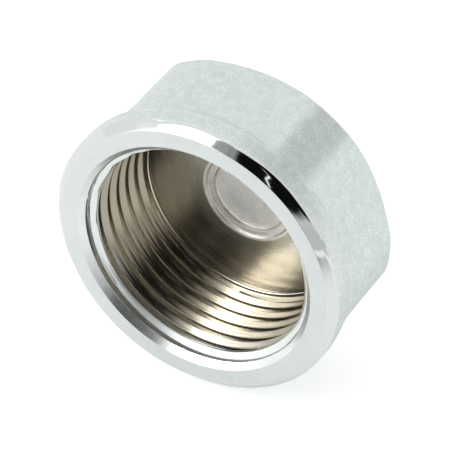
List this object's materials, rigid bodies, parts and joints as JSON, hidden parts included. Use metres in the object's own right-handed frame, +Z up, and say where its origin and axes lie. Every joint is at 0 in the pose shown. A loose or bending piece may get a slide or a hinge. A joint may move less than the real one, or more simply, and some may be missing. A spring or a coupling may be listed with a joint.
{
  "type": "manifold end cap",
  "caption": "Female pipe-thread end cap that closes a manifold or pipe end, with a round collar, a spanner hexagon and a countersunk blind bore.",
  "frame": {"origin": "centre of the bounding box's underside, below the middle of the cap, level with the lowest point of the collar", "axes": "+Y along the cap's axis from the open mouth to the closed end, +Z up, square to the hexagon's top flat; the cap lies on its side as on a bench"},
  "size_m": [0.0324, 0.015, 0.0324],
  "materials": {
    "plated_brass": "bright plating over sandblasted forging outside, polished bevel and turned bore"
  },
  "bodies": {
    "root": {"end_cap": "plated_brass"}
  },
  "joints": []
}
